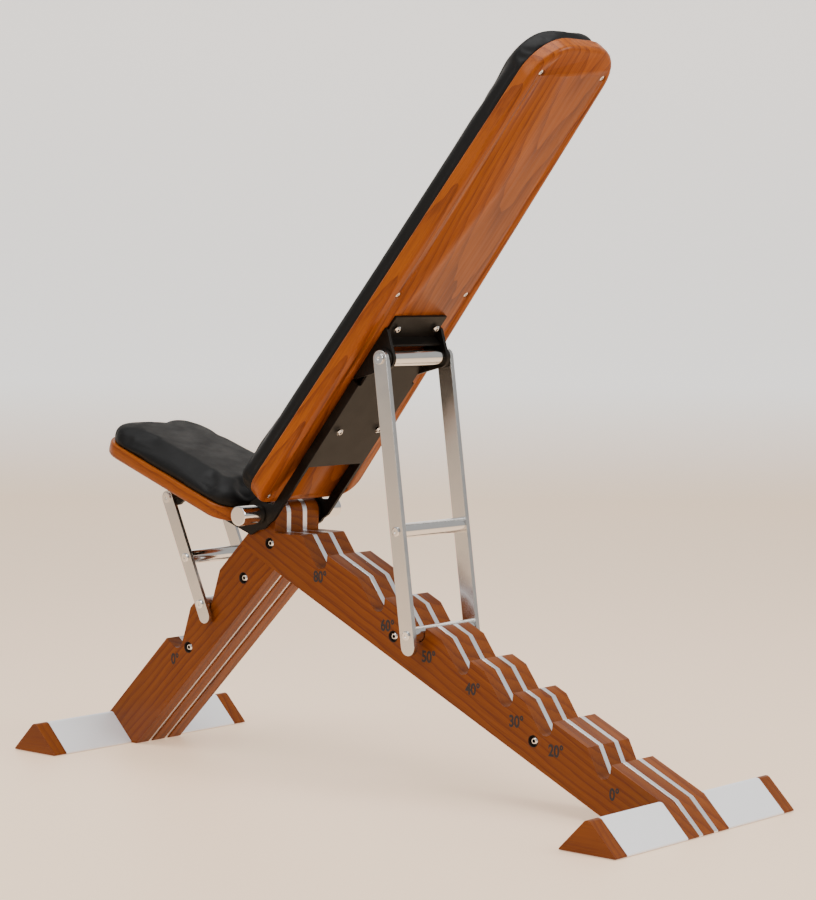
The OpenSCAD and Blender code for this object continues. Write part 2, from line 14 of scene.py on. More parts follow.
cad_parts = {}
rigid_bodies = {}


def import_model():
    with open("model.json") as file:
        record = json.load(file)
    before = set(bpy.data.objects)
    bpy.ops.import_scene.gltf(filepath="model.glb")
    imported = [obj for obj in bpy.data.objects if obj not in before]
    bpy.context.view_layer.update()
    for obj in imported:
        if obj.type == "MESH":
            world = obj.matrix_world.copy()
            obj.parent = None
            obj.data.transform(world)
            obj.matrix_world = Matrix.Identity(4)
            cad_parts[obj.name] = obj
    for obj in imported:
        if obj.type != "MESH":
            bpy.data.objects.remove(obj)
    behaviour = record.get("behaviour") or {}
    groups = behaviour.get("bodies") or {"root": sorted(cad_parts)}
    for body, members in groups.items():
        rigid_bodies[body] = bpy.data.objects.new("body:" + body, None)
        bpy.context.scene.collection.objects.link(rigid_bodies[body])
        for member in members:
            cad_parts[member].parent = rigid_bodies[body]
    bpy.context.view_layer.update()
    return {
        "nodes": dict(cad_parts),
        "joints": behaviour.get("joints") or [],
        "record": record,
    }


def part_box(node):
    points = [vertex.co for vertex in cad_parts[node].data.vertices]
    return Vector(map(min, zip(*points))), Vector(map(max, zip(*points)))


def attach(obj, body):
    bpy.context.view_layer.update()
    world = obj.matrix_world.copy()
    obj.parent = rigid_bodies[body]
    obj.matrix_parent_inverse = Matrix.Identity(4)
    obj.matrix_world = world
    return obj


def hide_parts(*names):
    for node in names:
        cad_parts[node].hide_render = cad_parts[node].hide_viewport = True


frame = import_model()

bl_info = {
    "name": "Adjustable weight bench",
    "version": (1, 0, 0),
    "blender": (4, 5, 0),
    "location": "View3D > Sidebar > Bench",
    "description": "Timber, metal and padding of an adjustable weight bench",
    "category": "Object",
}


# ---- places taken from the frame ----

JOINT_PLACES = {joint["name"]: Vector(joint["pos_m"]) for joint in frame["joints"]}
AXLE = JOINT_PLACES["back_recline"]


def node_centre(node):
    low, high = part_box(node)
    return (Vector(low) + Vector(high)) / 2


def board_matrix(angle, forward):
    """Board space to frame space: X across, Y out from the axle along the board, Z to the pad."""
    turn = Matrix.Rotation(radians(angle), 4, "X")
    if not forward:
        turn = Matrix.Diagonal((1, -1, 1, 1)) @ turn
    return Matrix.Translation(AXLE) @ turn


# ---- properties ----

class BenchBoards(bpy.types.PropertyGroup):
    """Sizes of the two boards and their pads."""
    back_angle: FloatProperty(name="Backrest angle", description="Slope of the backrest, degrees",
                              default=50.7)
    seat_angle: FloatProperty(name="Seat angle", description="Upward tilt of the seat, degrees",
                              default=18.7)
    back_drop: FloatProperty(name="Back board drop", description="Its underside below the axle",
                             default=0.013, unit="LENGTH")
    seat_drop: FloatProperty(name="Seat board drop", description="Its underside below the axle",
                             default=0.025, unit="LENGTH")
    back_start: FloatProperty(name="Back board start", description="Distance from the axle",
                              default=0.034, unit="LENGTH")
    back_end: FloatProperty(name="Back board end", description="Distance from the axle",
                            default=0.874, unit="LENGTH")
    back_low: FloatProperty(name="Back half width, axle", description="Half width at the axle",
                            default=0.113, unit="LENGTH")
    back_high: FloatProperty(name="Back half width, top", description="Half width at the top",
                             default=0.0845, unit="LENGTH")
    back_thick: FloatProperty(name="Back board thickness", description="Thickness of the back board",
                              default=0.0235, unit="LENGTH")
    seat_start: FloatProperty(name="Seat board start", description="Distance from the axle",
                              default=0.031, unit="LENGTH")
    seat_end: FloatProperty(name="Seat board end", description="Distance from the axle",
                            default=0.332, unit="LENGTH")
    seat_low: FloatProperty(name="Seat half width, axle", description="Half width at the axle",
                            default=0.109, unit="LENGTH")
    seat_high: FloatProperty(name="Seat half width, front", description="Half width at the front",
                             default=0.092, unit="LENGTH")
    seat_thick: FloatProperty(name="Seat board thickness", description="Thickness of the seat board",
                              default=0.0224, unit="LENGTH")
    edge_round: FloatProperty(name="Board edge rounding", description="Radius of the boards' long edges",
                              default=0.007, unit="LENGTH")
    back_pad: FloatProperty(name="Back pad thickness", description="Height of the back pad",
                            default=0.035, unit="LENGTH")
    seat_pad: FloatProperty(name="Seat pad thickness", description="Height of the seat pad",
                            default=0.030, unit="LENGTH")
    pad_setback: FloatProperty(name="Pad setback", description="Distance of the pads from the axle",
                               default=0.031, unit="LENGTH")
    pad_round: FloatProperty(name="Pad edge rounding", description="Radius of the pads' top edges",
                             default=0.017, unit="LENGTH")
    swell_cap: FloatProperty(name="Swell limit", description="Most that the foam pushes the leather out",
                             default=0.005, unit="LENGTH")


class BenchColours(bpy.types.PropertyGroup):
    """Colours of the finishes."""
    ash_light: FloatVectorProperty(name="Ash, light", description="Early wood under the stain",
                                   subtype="COLOR", default=(0.34, 0.082, 0.001))
    ash_dark: FloatVectorProperty(name="Ash, dark", description="Late wood under the stain",
                                  subtype="COLOR", default=(0.165, 0.032, 0.001))
    ash_pore: FloatVectorProperty(name="Ash, pores", description="Open pores holding stain",
                                  subtype="COLOR", default=(0.09, 0.014, 0.001))
    mark: FloatVectorProperty(name="Burned mark", description="Colour of the angle marks",
                              subtype="COLOR", default=(0.006, 0.003, 0.002))
    leather: FloatVectorProperty(name="Leather", description="Colour of the pads",
                                 subtype="COLOR", default=(0.0022, 0.0021, 0.0021))
    enamel: FloatVectorProperty(name="Powder coat", description="Colour of the brackets",
                                subtype="COLOR", default=(0.006, 0.005, 0.004))
    chrome: FloatVectorProperty(name="Chrome", description="Colour of the polished steel",
                                subtype="COLOR", default=(0.80, 0.79, 0.77))
    aluminium: FloatVectorProperty(name="Aluminium", description="Colour of the plates",
                                   subtype="COLOR", default=(0.86, 0.87, 0.89))


class BenchView(bpy.types.PropertyGroup):
    """Where the bench is seen from, and its light."""
    eye: FloatVectorProperty(name="Eye", description="Place of the camera", subtype="XYZ",
                             default=(2.9134, 2.5559, 0.7509))
    heading: FloatProperty(name="Heading", description="Direction of view, degrees from +X",
                           default=220.7509)
    tilt: FloatProperty(name="Tilt", description="Upward tilt, degrees", default=-3.8924)
    roll: FloatProperty(name="Roll", description="Clockwise roll, degrees", default=0.3602)
    lens: FloatProperty(name="Lens", description="Focal length in mm on a 36 mm frame", default=106.02)
    fill: FloatProperty(name="Fill light", description="Strength of the light from all round", default=0.5)


# ---- node-tree helper ----

class Weave:
    """Adds nodes to a tree and links them in one call."""

    def __init__(self, tree):
        self.tree = tree
        self.count = 0

    def add(self, kind, inputs=None, **settings):
        node = self.tree.nodes.new(kind)
        node.location = (200 * (self.count % 9), -260 * (self.count // 9))
        self.count += 1
        for key, value in settings.items():
            setattr(node, key, value)
        for key, value in (inputs or {}).items():
            if isinstance(value, bpy.types.NodeSocket):
                self.tree.links.new(value, node.inputs[key])
            else:
                node.inputs[key].default_value = value
        return node

    def maths(self, operation, a, b=0.0, clamp=False):
        return self.add("ShaderNodeMath", {0: a, 1: b}, operation=operation, use_clamp=clamp).outputs[0]

    def mix(self, factor, a, b):
        node = self.add("ShaderNodeMix", data_type="RGBA")
        for socket, value in ((node.inputs[0], factor), (node.inputs[6], a), (node.inputs[7], b)):
            if isinstance(value, bpy.types.NodeSocket):
                self.tree.links.new(value, socket)
            else:
                socket.default_value = value
        return node.outputs[2]

    def ramp(self, factor, stops):
        node = self.add("ShaderNodeValToRGB", {0: factor})
        band = node.color_ramp
        while len(band.elements) < len(stops):
            band.elements.new(0.5)
        for element, (place, colour) in zip(band.elements, stops):
            element.position = place
            element.color = colour
        return node.outputs[0]


def rgba(colour):
    return (colour[0], colour[1], colour[2], 1.0)


def grey(value):
    return (value, value, value, 1.0)


def new_material(name):
    material = bpy.data.materials.new(name)
    material.use_nodes = True
    material.node_tree.nodes.clear()
    return material, Weave(material.node_tree)


def finish_material(w, shader_inputs, height=None, strength=0.2, distance=0.001):
    if height is not None:
        bump = w.add("ShaderNodeBump", {"Strength": strength, "Distance": distance, "Height": height})
        shader_inputs["Normal"] = bump.outputs[0]
    shader = w.add("ShaderNodeBsdfPrincipled", shader_inputs)
    w.add("ShaderNodeOutputMaterial", {"Surface": shader.outputs[0]})


# ---- materials ----

MATERIALS = {}


def colours():
    return bpy.context.scene.bench_colours


def stained_ash(name, slope, shift=(0, 0, 0), heart=(0.03, 0, -0.07), shade=1.0, lean=(4, 1.6)):
    """Orange-brown stained ash; the grain runs along Y turned up by slope degrees."""
    if name in MATERIALS:
        return MATERIALS[name]
    tint = colours()
    material, w = new_material(name)
    place = w.add("ShaderNodeTexCoord").outputs["Object"]
    turned = w.add("ShaderNodeMapping", {"Vector": place, "Location": shift,
                                         "Rotation": (radians(-slope), 0, 0)}, vector_type="POINT")
    grain = turned.outputs[0]
    tilted = w.add("ShaderNodeMapping", {"Vector": grain, "Location": heart,
                                         "Rotation": (radians(lean[0]), 0, radians(lean[1])),
                                         "Scale": (1, 0.55, 1)}).outputs[0]
    wander = w.add("ShaderNodeTexNoise", {"Vector": w.add("ShaderNodeMapping", {
        "Vector": grain, "Scale": (9, 1.6, 9)}).outputs[0], "Scale": 1.0, "Detail": 3.0})
    moved = w.add("ShaderNodeVectorMath", {0: tilted, 1: w.add("ShaderNodeVectorMath", {
        0: wander.outputs["Color"], 1: (0.034, 0.0, 0.034)}, operation="MULTIPLY").outputs[0]},
        operation="ADD").outputs[0]
    rings = w.add("ShaderNodeTexWave", {"Vector": moved, "Scale": 28.0, "Distortion": 1.3, "Detail": 2.0,
                                        "Detail Scale": 1.2}, wave_type="RINGS", rings_direction="Y",
                  wave_profile="SAW").outputs["Fac"]
    pores = w.add("ShaderNodeTexNoise", {"Vector": w.add("ShaderNodeMapping", {
        "Vector": grain, "Scale": (620, 14, 620)}).outputs[0], "Scale": 1.0, "Detail": 2.0,
        "Roughness": 0.6}).outputs[0]
    fibre = w.add("ShaderNodeTexNoise", {"Vector": w.add("ShaderNodeMapping", {
        "Vector": grain, "Scale": (170, 3.5, 170)}).outputs[0], "Scale": 1.0, "Detail": 3.0}).outputs[0]
    cloud = w.add("ShaderNodeTexNoise", {"Vector": grain, "Scale": 5.0, "Detail": 2.0}).outputs[0]
    light = tuple(shade * c for c in tint.ash_light)
    dark = tuple(shade * c for c in tint.ash_dark)
    middle = tuple(0.35 * a + 0.65 * b for a, b in zip(dark, light))
    body = w.ramp(rings, [(0.0, rgba(dark)), (0.3, rgba(middle)), (0.7, rgba(light)), (1.0, rgba(light))])
    body = w.mix(w.maths("MULTIPLY", fibre, 0.7), body, rgba(dark))
    open_pore = w.ramp(pores, [(0.43, grey(1.0)), (0.53, grey(0.0))])
    near_ring = w.ramp(rings, [(0.0, grey(1.0)), (0.5, grey(0.3))])
    pore_mask = w.maths("MULTIPLY", open_pore, near_ring)
    body = w.mix(w.maths("MULTIPLY", pore_mask, 0.88), body, rgba(tint.ash_pore))
    body = w.mix(w.ramp(cloud, [(0.3, grey(0.0)), (0.7, grey(0.35))]), body,
                 rgba(tuple(0.62 * c for c in light)))
    rough = w.ramp(fibre, [(0.3, grey(0.36)), (0.7, grey(0.47))])
    height = w.maths("SUBTRACT", w.maths("MULTIPLY", fibre, 0.3), pore_mask)
    finish_material(w, {"Base Color": body, "Roughness": rough, "Coat Weight": 0.12,
                        "Coat Roughness": 0.2, "Specular IOR Level": 0.14}, height, 0.18, 0.0004)
    MATERIALS[name] = material
    return material


def metal(name, colour, rough_low, rough_high, scale, strength=0.05, distance=0.0002, metallic=1.0):
    """Metal whose polish varies by fine stretched lines."""
    if name in MATERIALS:
        return MATERIALS[name]
    material, w = new_material(name)
    place = w.add("ShaderNodeTexCoord").outputs["Object"]
    lines = w.add("ShaderNodeTexNoise", {"Vector": w.add("ShaderNodeMapping", {
        "Vector": place, "Scale": scale}).outputs[0], "Scale": 1.0, "Detail": 3.0}).outputs[0]
    patch = w.add("ShaderNodeTexNoise", {"Vector": place, "Scale": 9.0, "Detail": 2.0}).outputs[0]
    rough = w.ramp(w.maths("ADD", w.maths("MULTIPLY", lines, 0.7), w.maths("MULTIPLY", patch, 0.3)),
                   [(0.3, grey(rough_low)), (0.7, grey(rough_high))])
    tone = w.mix(w.ramp(patch, [(0.35, grey(0.0)), (0.7, grey(0.3))]), rgba(colour),
                 rgba(tuple(0.9 * c for c in colour)))
    finish_material(w, {"Base Color": tone, "Roughness": rough, "Metallic": metallic}, lines,
                    strength, distance)
    MATERIALS[name] = material
    return material


def polished_steel():
    return metal("polished_steel", colours().chrome, 0.09, 0.17, (60, 60, 60))


def satin_steel():
    return metal("satin_steel", tuple(0.78 * c for c in colours().chrome), 0.17, 0.27, (50, 50, 50))


def satin_aluminium():
    return metal("satin_aluminium", colours().aluminium, 0.26, 0.38, (40, 900, 900), 0.12)


def foot_silver():
    return metal("foot_silver", colours().aluminium, 0.38, 0.5, (30, 700, 700), 0.08, 0.0002, 0.3)


def bronze():
    return metal("bush_bronze", (0.55, 0.38, 0.16), 0.25, 0.4, (300, 40, 40))


def black_enamel():
    """Satin black powder coat with fine orange peel."""
    if "black_enamel" in MATERIALS:
        return MATERIALS["black_enamel"]
    material, w = new_material("black_enamel")
    place = w.add("ShaderNodeTexCoord").outputs["Object"]
    peel = w.add("ShaderNodeTexNoise", {"Vector": place, "Scale": 900.0, "Detail": 2.0}).outputs[0]
    wear = w.add("ShaderNodeTexNoise", {"Vector": place, "Scale": 30.0, "Detail": 4.0}).outputs[0]
    tone = w.mix(w.ramp(wear, [(0.4, grey(0.0)), (0.75, grey(0.6))]), rgba(colours().enamel),
                 rgba(tuple(2.2 * c for c in colours().enamel)))
    rough = w.ramp(wear, [(0.3, grey(0.34)), (0.7, grey(0.46))])
    finish_material(w, {"Base Color": tone, "Roughness": rough, "Specular IOR Level": 0.15}, peel,
                    0.12, 0.0002)
    MATERIALS["black_enamel"] = material
    return material


def pad_leather():
    """Soft black leather: fine pebbled grain, faint creases and a broad sheen."""
    if "pad_leather" in MATERIALS:
        return MATERIALS["pad_leather"]
    material, w = new_material("pad_leather")
    place = w.add("ShaderNodeTexCoord").outputs["Object"]
    warp = w.add("ShaderNodeTexNoise", {"Vector": place, "Scale": 140.0, "Detail": 2.0}).outputs["Color"]
    bent = w.add("ShaderNodeVectorMath", {0: place, 1: w.add("ShaderNodeVectorMath", {
        0: warp, 1: (0.0016, 0.0016, 0.0016)}, operation="MULTIPLY").outputs[0]}, operation="ADD").outputs[0]
    pebble = w.add("ShaderNodeTexVoronoi", {"Vector": bent, "Scale": 620.0},
                   feature="DISTANCE_TO_EDGE").outputs["Distance"]
    pebble = w.maths("MULTIPLY", pebble, 3.0, clamp=True)
    crease = w.add("ShaderNodeTexNoise", {"Vector": place, "Scale": 36.0, "Detail": 5.0}).outputs[0]
    height = w.maths("ADD", w.maths("MULTIPLY", pebble, 0.5), w.maths("MULTIPLY", crease, 0.9))
    rough = w.ramp(crease, [(0.3, grey(0.46)), (0.7, grey(0.60))])
    tone = w.mix(w.maths("MULTIPLY", crease, 0.5), rgba(colours().leather),
                 rgba(tuple(1.8 * c for c in colours().leather)))
    finish_material(w, {"Base Color": tone, "Roughness": rough, "Specular IOR Level": 0.16}, height,
                    0.22, 0.0005)
    MATERIALS["pad_leather"] = material
    return material


def plain(name, colour, roughness, scale):
    """A matt finish with a fine mottle, for rubber, burned marks and the painted shade in the counterbores.
    """
    if name in MATERIALS:
        return MATERIALS[name]
    material, w = new_material(name)
    place = w.add("ShaderNodeTexCoord").outputs["Object"]
    mottle = w.add("ShaderNodeTexNoise", {"Vector": place, "Scale": scale, "Detail": 3.0}).outputs[0]
    tone = w.mix(mottle, rgba(colour), rgba(tuple(1.7 * c for c in colour)))
    finish_material(w, {"Base Color": tone, "Roughness": roughness}, mottle, 0.2, 0.0003)
    MATERIALS[name] = material
    return material


def studio_pale():
    """Plain pale floor, warm underfoot and neutral where it bends up behind."""
    material, w = new_material("studio_pale")
    place = w.add("ShaderNodeTexCoord").outputs["Object"]
    height = w.add("ShaderNodeSeparateXYZ", {"Vector": place}).outputs["Z"]
    mottle = w.add("ShaderNodeTexNoise", {"Vector": place, "Scale": 3.0, "Detail": 4.0}).outputs[0]
    tone = w.ramp(height, [(0.0, (0.66, 0.48, 0.33, 1)), (0.35, (0.85, 0.84, 0.82, 1))])
    tone = w.mix(w.maths("MULTIPLY", mottle, 0.04), tone, grey(0.5))
    finish_material(w, {"Base Color": tone, "Roughness": 0.5, "Emission Color": tone,
                        "Emission Strength": 0.85})
    return material


# ---- mesh helpers ----

def put(name, bm, material, smooth_angle=35):
    """Makes an object of a bmesh, smooth except at sharp corners."""
    bmesh.ops.recalc_face_normals(bm, faces=bm.faces)
    for face in bm.faces:
        face.smooth = True
    for edge in bm.edges:
        if len(edge.link_faces) == 2:
            edge.smooth = edge.calc_face_angle(0) < radians(smooth_angle)
    mesh = bpy.data.meshes.new(name)
    bm.to_mesh(mesh)
    bm.free()
    mesh.materials.append(material)
    obj = bpy.data.objects.new(name, mesh)
    bpy.context.collection.objects.link(obj)
    even = obj.modifiers.new("normals", "WEIGHTED_NORMAL")
    even.keep_sharp = True
    apply_modifiers(obj)
    return obj


def settle(obj, body, slot, *nodes):
    """Rides a finished piece on its body, in place of its nodes."""
    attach(obj, body)
    if nodes:
        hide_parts(*nodes)


def apply_modifiers(obj):
    """Replaces an object's mesh by what its modifiers make of it."""
    seen = obj.evaluated_get(bpy.context.evaluated_depsgraph_get())
    mesh = bpy.data.meshes.new_from_object(seen)
    obj.modifiers.clear()
    old = obj.data
    obj.data = mesh
    bpy.data.meshes.remove(old)


def refine(node, name, body, slot, material, bevel=0.0012, segments=2):
    """A cleaned copy of a node with softened edges, shown in its place."""
    bm = bmesh.new()
    bm.from_mesh(frame["nodes"][node].data)
    bmesh.ops.remove_doubles(bm, verts=bm.verts, dist=2e-5)
    bmesh.ops.dissolve_limit(bm, angle_limit=radians(1.5), verts=bm.verts, edges=bm.edges)
    sharp = [e for e in bm.edges if len(e.link_faces) == 2 and e.calc_face_angle(0) > radians(40)]
    if bevel > 0:
        bmesh.ops.bevel(bm, geom=sharp, offset=bevel, segments=segments, profile=0.5, affect="EDGES",
                        clamp_overlap=True, loop_slide=True)
    obj = put(name, bm, material, 32)
    settle(obj, body, slot, node)


def rounded_outline(start, end, low, high, r_low, r_high, steps=8):
    """Tapered board outline with round corners, as a loop of (across, along) points."""
    corners = [(-low, start, r_low), (low, start, r_low), (high, end, r_high), (-high, end, r_high)]
    loop = []
    for i, (x, y, r) in enumerate(corners):
        here = Vector((x, y))
        back = (Vector(corners[i - 1][:2]) - here).normalized()
        ahead = (Vector(corners[(i + 1) % 4][:2]) - here).normalized()
        half = back.angle(ahead) / 2
        centre = here + (back + ahead).normalized() * r / sin(half)
        first = here + back * r / tan(half) - centre
        last = here + ahead * r / tan(half) - centre
        turn = first.angle_signed(last)
        for k in range(steps + 1):
            spin = Matrix.Rotation(-turn * k / steps, 2)
            loop.append(centre + spin @ first)
    return loop


def stack(levels):
    """A closed solid from outlines at rising heights: levels of (height, loop)."""
    bm = bmesh.new()
    rows = [[bm.verts.new((p.x, p.y, z)) for p in loop] for z, loop in levels]
    count = len(rows[0])
    for below, above in zip(rows, rows[1:]):
        for i in range(count):
            j = (i + 1) % count
            bm.faces.new((below[i], below[j], above[j], above[i]))
    bm.faces.new(list(reversed(rows[0])))
    bm.faces.new(rows[-1])
    return bm


# ---- operators ----

# Soft lamps: name, place, point aimed at, width of the disk, watts.
LAMPS = (("light_above", (0.6, 0.2, 3.2), (0, 0.1, 0.4), 3.0, 130),
         ("light_side", (3.4, -0.6, 1.9), (0, 0, 0.5), 2.2, 45),
         ("light_rear", (-1.2, 3.4, 2.4), (0, 0, 0.5), 2.0, 95))
BEND_STEPS = 12


class BENCH_OT_stage(bpy.types.Operator):
    """Floor bent up behind, lamps and camera"""
    bl_idname = "bench.stage"
    bl_label = "Stage"

    def execute(self, context):
        view = context.scene.bench_view
        depth, wide, bend, high = 6.0, 9.0, 1.6, 5.0
        arc = [pi / 2 * k / BEND_STEPS for k in range(BEND_STEPS + 1)]
        profile = [(-depth, 0)] + [(depth - bend + bend * sin(a), bend - bend * cos(a)) for a in arc]
        profile.append((depth, high))
        away = Matrix.Rotation(radians(view.heading), 4, "Z")
        bm = bmesh.new()
        rows = [[bm.verts.new(away @ Vector((u, side * wide, z))) for side in (-1, 1)]
                for u, z in profile]
        for near, far in zip(rows, rows[1:]):
            bm.faces.new((near[0], near[1], far[1], far[0]))
        put("studio_floor", bm, studio_pale())

        world = bpy.data.worlds.new("studio_light")
        world.use_nodes = True
        back = world.node_tree.nodes["Background"]
        back.inputs["Color"].default_value = (1.0, 0.995, 0.985, 1.0)
        back.inputs["Strength"].default_value = view.fill
        context.scene.world = world
        for lamp in LAMPS:
            self.lamp(*lamp)

        pan, tip, turn = radians(view.heading), radians(view.tilt), radians(view.roll)
        ahead = Vector((cos(pan) * cos(tip), sin(pan) * cos(tip), sin(tip)))
        level = Vector((sin(pan), -cos(pan), 0))
        upward = level.cross(ahead)
        right = cos(turn) * level + sin(turn) * upward
        top = cos(turn) * upward - sin(turn) * level
        camera = bpy.data.cameras.new("camera")
        camera.lens = view.lens
        camera.sensor_width = 36
        eye = bpy.data.objects.new("camera", camera)
        spin = Matrix((right, top, -ahead)).transposed().to_4x4()
        eye.matrix_world = Matrix.Translation(view.eye) @ spin
        context.collection.objects.link(eye)
        context.scene.camera = eye
        return {"FINISHED"}

    def lamp(self, name, place, aim, size, power):
        data = bpy.data.lights.new(name, "AREA")
        data.shape = "DISK"
        data.size = size
        data.energy = power
        obj = bpy.data.objects.new(name, data)
        turn = (Vector(aim) - Vector(place)).to_track_quat("-Z", "Y")
        obj.matrix_world = Matrix.Translation(place) @ turn.to_matrix().to_4x4()
        bpy.context.collection.objects.link(obj)


# Slope of each member's grain in degrees, and the height of its rings' centre in the grain's space.
TIMBERS = (("rear_beam", -25.2, -0.135), ("front_leg", 45, -0.28))
# How far from a frame bolt's axis the counterbore walls get painted shade.
SINK_RADIUS = 0.0092


class BENCH_OT_timber(bpy.types.Operator):
    """Laminated beam and leg, with their planks and plates"""
    bl_idname = "bench.timber"
    bl_label = "Timber frame"

    def execute(self, context):
        for member, slope, depth in TIMBERS:
            for i, part in enumerate(("right", "middle", "left")):
                heart = (0.04 * i - 0.12, 0.1 * i, depth)
                ash = stained_ash(f"ash_{member}_{part}", slope, (0.01 * i, 0.3 * i, 0), heart,
                                  0.6 + 0.05 * i, (1.5, 4))
                refine(f"{member}_plank_{part}", f"{member}_timber_{part}", "frame", "stained_ash",
                       ash, 0.0014)
            for part in ("right", "left"):
                # Painted shade: the counterbore walls round the frame bolts get a near-black finish.
                self.paint_sink_shade(bpy.data.objects[f"{member}_timber_{part}"])
                refine(f"{member}_plate_{part}", f"{member}_metal_{part}", "frame", "satin_aluminium",
                       satin_aluminium(), 0.0006, 1)
        return {"FINISHED"}

    def paint_sink_shade(self, obj):
        """Gives the counterbores round the frame bolts near-black walls: painted shade in the recesses."""
        # A near-black finish used as painted shade on the counterbore walls.
        obj.data.materials.append(plain("sink_painted_shade", (0.01, 0.005, 0.003), 0.8, 300))
        axes = [(low + high) / 2 for low, high in solid_boxes("frame_bolts")]
        for face in obj.data.polygons:
            for axis in axes:
                if (face.center - axis).yz.length < SINK_RADIUS:
                    face.material_index = 1


class BENCH_OT_feet(bpy.types.Operator):
    """Foot bars with their covers, end caps and pads"""
    bl_idname = "bench.feet"
    bl_label = "Feet"

    def execute(self, context):
        across = stained_ash("ash_feet", 0, (0, 0, 0), (0.0, 0.02, -0.04), 0.62)
        for end in ("front", "rear"):
            refine(f"{end}_foot_end_caps", f"{end}_foot_ends", "frame", "stained_ash", across, 0.0012)
            refine(f"{end}_foot_cores", f"{end}_foot_timber", "frame", "stained_ash", across, 0)
            for side in ("right", "left"):
                refine(f"{end}_foot_cover_{side}", f"{end}_foot_sheet_{side}", "frame",
                       "satin_aluminium", foot_silver(), 0)
        rubber = plain("foot_rubber", (0.012, 0.012, 0.012), 0.8, 300)
        frame["nodes"]["foot_pads"].data.materials.clear()
        frame["nodes"]["foot_pads"].data.materials.append(rubber)
        return {"FINISHED"}


# Corner radii of a board at the axle and at its far end; the pad on it follows the far one.
BACK_CORNERS = (0.036, 0.060)
SEAT_CORNERS = (0.034, 0.046)
EDGE_STEPS = 5
PAD_SIDE_SHARE = 0.4
POCKET_RADIUS = 0.0056
POCKET_DEPTH = 0.008


class BENCH_OT_boards(bpy.types.Operator):
    """Seat and back boards with rounded edges"""
    bl_idname = "bench.boards"
    bl_label = "Boards"

    def execute(self, context):
        s = context.scene.bench_boards
        self.board("back_timber", "backrest", "back_board", board_matrix(s.back_angle, True),
                   (s.back_start, s.back_end, s.back_low, s.back_high, *BACK_CORNERS), s.back_thick,
                   s.back_drop,
                   stained_ash("ash_back", s.back_angle, (0.012, 0.2, 0.0), (0.01, 0, -0.545), 1.0,
                               (9, 1.2)))
        self.board("seat_timber", "seat", "seat_board", board_matrix(s.seat_angle, False),
                   (s.seat_start, s.seat_end, s.seat_low, s.seat_high, *SEAT_CORNERS), s.seat_thick,
                   s.seat_drop,
                   stained_ash("ash_seat", -s.seat_angle, (0, 0.1, 0), (0.02, 0, -0.55), 0.9, (5, 1.2)))
        return {"FINISHED"}

    def board(self, name, body, node, place, sizes, thick, drop, material):
        """One board, rounded fully below and by a share of the radius on the pad's side."""
        start, end, low, high, r_low, r_high = sizes
        taper = (low - high) / end
        low = low - taper * start
        r = bpy.context.scene.bench_boards.edge_round
        turns = [pi / 2 * k / EDGE_STEPS for k in range(EDGE_STEPS + 1)]
        rise = [(r - r * cos(a), r - r * sin(a)) for a in turns]
        bottom = -drop
        top = bottom + thick
        edge = [(bottom + up, inset) for up, inset in rise]
        edge += [(top - up * PAD_SIDE_SHARE, inset * PAD_SIDE_SHARE) for up, inset in reversed(rise)]
        levels = [(z, rounded_outline(start + i, end - i, low - i, high - i, r_low - i, r_high - i))
                  for z, i in edge]
        bm = stack(levels)
        obj = put(name, bm, material, 50)
        if node == "back_board":
            self.counterbore(obj, place, bottom)
        obj.data.transform(place)
        if place.determinant() < 0:
            obj.data.flip_normals()
        settle(obj, body, "stained_ash", node)

    def counterbore(self, obj, place, bottom):
        """Sinks a round pocket for every screw of the back board."""
        bm = bmesh.new()
        for low, high in solid_boxes("back_board_screws", place.inverted()):
            spot = Matrix.Translation(((low.x + high.x) / 2, (low.y + high.y) / 2, bottom))
            bmesh.ops.create_cone(bm, cap_ends=True, segments=32, radius1=POCKET_RADIUS,
                                  radius2=POCKET_RADIUS, depth=POCKET_DEPTH, matrix=spot)
        cutter = put("cutter", bm, obj.data.materials[0])
        cut = obj.modifiers.new("cut", "BOOLEAN")
        cut.object = cutter
        apply_modifiers(obj)
        bpy.data.objects.remove(cutter)


PAD_STEPS = 16
PAD_SLACK = 0.0015
TUCK_DEPTH, TUCK_HEIGHT = 0.0022, 0.010
HINGE_CORNER, LEAST_CORNER = 0.026, 0.01
VOXEL = 0.005
FLAT_UNDER = 0.0035
HELD_UNDER = 0.002
SWELL_FRAMES = 20
CROWN_RISE, CROWN_HALF, CROWN_FROM = 0.0022, 0.105, 0.6


